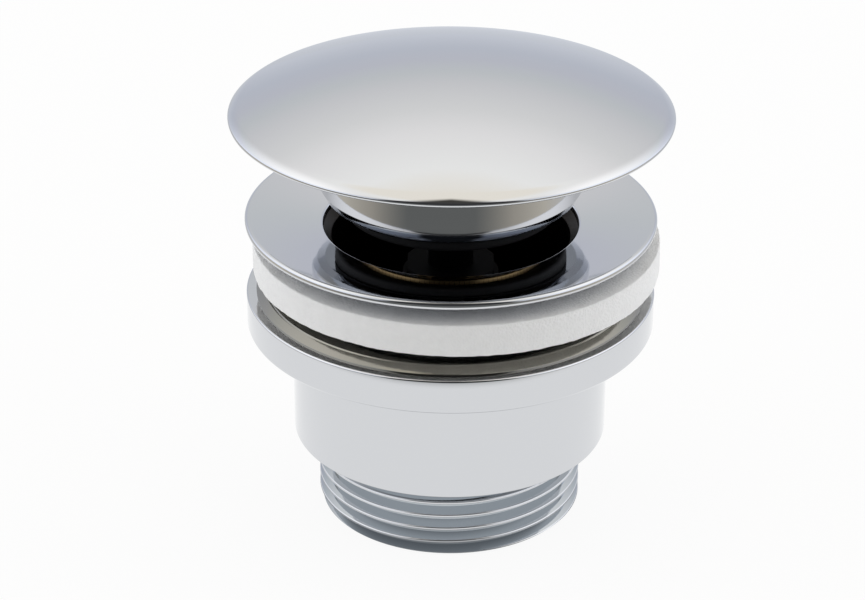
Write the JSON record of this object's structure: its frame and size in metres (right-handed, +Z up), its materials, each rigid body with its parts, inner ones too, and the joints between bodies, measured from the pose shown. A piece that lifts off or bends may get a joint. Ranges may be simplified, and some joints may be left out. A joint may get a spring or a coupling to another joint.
{
  "type": "pop up basin waste",
  "caption": "Pop up basin waste: a mushroom cap on a click-clack cartridge, in a dished flange with a foam seal, screwed into a lower body with a threaded outlet.",
  "frame": {"origin": "centre of the free end of the outlet, on which the waste stands", "axes": "+Z up along the waste's axis, from the outlet to the cap"},
  "size_m": [0.0682, 0.0682, 0.0738],
  "materials": {
    "chrome": "mirror chrome plate on brass",
    "polished_steel": "polished stainless steel",
    "brass": "turned, bare",
    "black_rubber": "moulded, satin",
    "white_foam": "closed-cell foam, matt",
    "acetal": "moulded, black"
  },
  "bodies": {
    "lower_cup": {"lower_body": "chrome", "slip_washer": "polished_steel"},
    "flange_unit": {"flange_body": "chrome", "flange_seal": "white_foam", "tail_o_ring": "black_rubber", "cartridge_housing": "brass", "cartridge_washer": "polished_steel", "cartridge_nut": "brass", "cartridge_gland": "acetal", "wiper_o_ring": "black_rubber", "guide_sleeve": "acetal", "return_spring": "polished_steel", "spring_base": "brass"},
    "plug_unit": {"plunger": "acetal", "cap_stud": "polished_steel", "stud_locknut": "brass", "seal_washer": "brass", "plug_seal": "black_rubber", "plug_drum": "chrome", "cap_dome": "chrome"},
    "rotor_unit": {"index_rotor": "acetal"}
  },
  "joints": [
    {"name": "clamp_screw", "type": "slide", "parent": "lower_cup", "child": "flange_unit", "axis": [0, 0, 1], "range_m": [-0.0024, 0.008]},
    {"name": "plug_press", "type": "slide", "parent": "flange_unit", "child": "plug_unit", "axis": [0, 0, 1], "range_m": [-0.006, 0], "stiffness_N_per_m": 1500, "springref_m": 0.004, "deforming": ["return_spring"]},
    {"name": "rotor_turn", "type": "hinge", "parent": "plug_unit", "child": "rotor_unit", "pos_m": [0, 0, 0.027], "axis": [0, 0, 1], "range_deg": [0, 50]}
  ],
  "couplings": [
    {"joint": "rotor_turn", "follows": "plug_press", "rad_per_m": -130.89}
  ]
}
